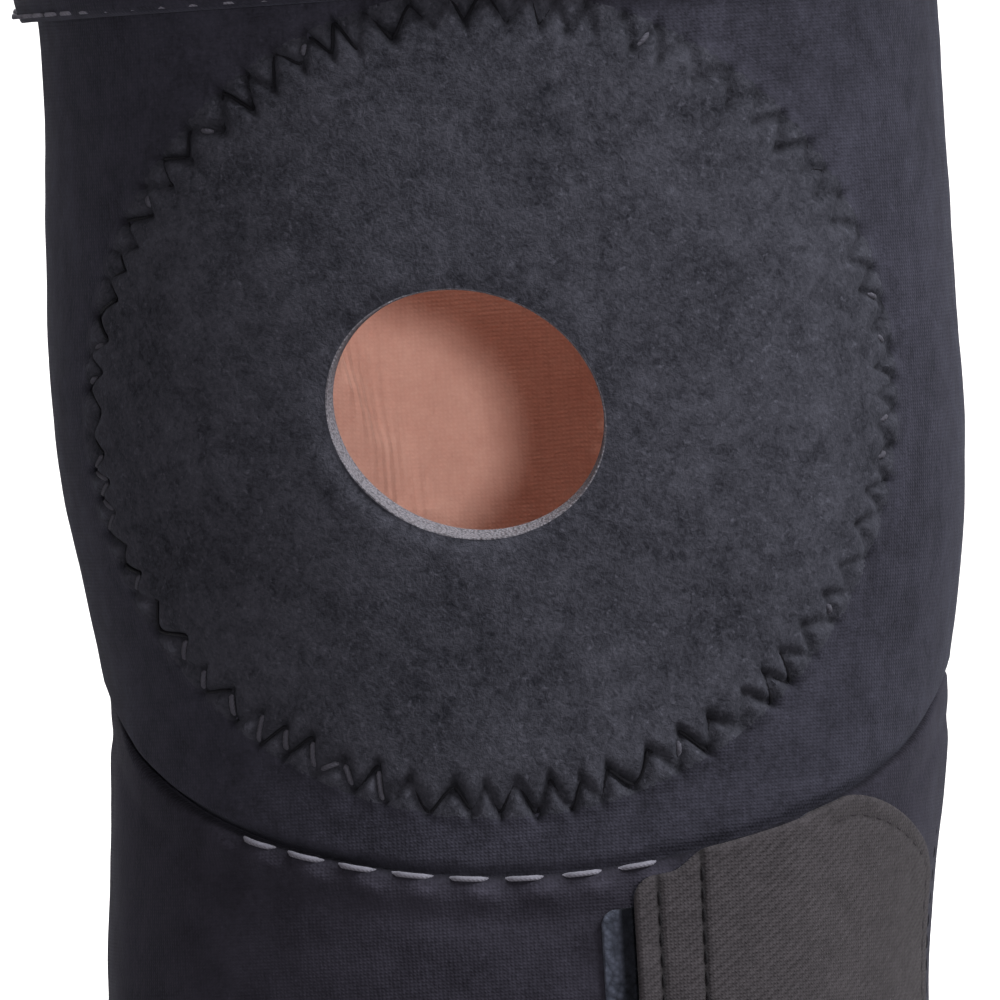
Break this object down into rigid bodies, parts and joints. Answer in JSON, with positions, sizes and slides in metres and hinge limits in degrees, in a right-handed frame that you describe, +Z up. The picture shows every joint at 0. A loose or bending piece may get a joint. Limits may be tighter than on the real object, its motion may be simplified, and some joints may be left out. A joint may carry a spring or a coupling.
{
  "type": "knee brace",
  "caption": "Wrap-around hinged knee brace with an open patella panel, round buttress pad, thigh and calf cuffs with closure tabs and geared side hinges.",
  "frame": {"origin": "middle of the lower rim the brace stands on; the leg's axis at the patella opening is 156.1 mm above it", "axes": "+Z up the thigh, -Y to the front of the knee, +X to the side whose closure tabs are sewn on (the wearer's left)"},
  "size_m": [0.1544, 0.153, 0.3322],
  "materials": {
    "neoprene": "jersey-faced neoprene, matt",
    "brushed_pile": "brushed loop pile, matt",
    "pad_foam": "closed-cell foam, matt",
    "stretch_mesh": "ribbed stretch knit, matt",
    "edge_binding": "woven binding tape, matt",
    "closure_twill": "twill-faced hook tab, matt",
    "hook_tape": "moulded hook tape",
    "loop_pile": "loop pile patch",
    "lining_tricot": "tricot lining, matt",
    "aluminium_arm": "satin anodised",
    "steel_plate": "brushed",
    "steel_rivet": "polished heads"
  },
  "bodies": {
    "thigh": {"thigh_cuff": "neoprene", "thigh_hem_binding": "edge_binding", "thigh_loop_patch": "loop_pile", "thigh_tab_base": "closure_twill", "thigh_hinge_arm_left": "aluminium_arm", "thigh_hinge_arm_right": "aluminium_arm", "thigh_pocket_facing_left": "lining_tricot", "thigh_pocket_facing_right": "lining_tricot"},
    "thigh_flap": {"thigh_tab_flap": "closure_twill", "thigh_hook_pad": "hook_tape"},
    "knee": {"knee_front_panel": "neoprene", "patella_cover_disc": "brushed_pile", "patella_buttress_ring": "pad_foam", "popliteal_panel": "stretch_mesh", "condyle_pad_left": "pad_foam", "condyle_pad_right": "pad_foam", "hinge_outer_plate_left": "steel_plate", "hinge_outer_plate_right": "steel_plate", "hinge_inner_plate_left": "steel_plate", "hinge_inner_plate_right": "steel_plate", "hinge_rivet_upper_left": "steel_rivet", "hinge_rivet_upper_right": "steel_rivet", "hinge_rivet_lower_left": "steel_rivet", "hinge_rivet_lower_right": "steel_rivet"},
    "shank": {"calf_cuff": "neoprene", "calf_hem_binding": "edge_binding", "calf_loop_patch": "loop_pile", "calf_tab_base": "closure_twill", "calf_hinge_arm_left": "aluminium_arm", "calf_hinge_arm_right": "aluminium_arm", "calf_pocket_facing_left": "lining_tricot", "calf_pocket_facing_right": "lining_tricot"},
    "calf_flap": {"calf_tab_flap": "closure_twill", "calf_hook_pad": "hook_tape"}
  },
  "joints": [
    {"name": "upper_flexion", "type": "hinge", "parent": "thigh", "child": "knee", "pos_m": [-0.00026, 0.004, 0.1671], "axis": [1, 0, 0], "range_deg": [0, 55], "deforming": ["knee_front_panel", "popliteal_panel"]},
    {"name": "lower_flexion", "type": "hinge", "parent": "knee", "child": "shank", "pos_m": [-0.00026, 0.004, 0.1451], "axis": [1, 0, 0], "range_deg": [0, 55], "deforming": ["knee_front_panel", "popliteal_panel"]},
    {"name": "thigh_tab_peel", "type": "hinge", "parent": "thigh", "child": "thigh_flap", "pos_m": [0.04813, -0.05926, 0.2721], "axis": [0.0585, -0.0692, 0.9959], "range_deg": [0, 110]},
    {"name": "calf_tab_peel", "type": "hinge", "parent": "shank", "child": "calf_flap", "pos_m": [0.03873, -0.04813, 0.05762], "axis": [0.0307, -0.0363, 0.9989], "range_deg": [0, 110]}
  ],
  "couplings": [
    {"joint": "lower_flexion", "follows": "upper_flexion", "ratio": 1}
  ]
}
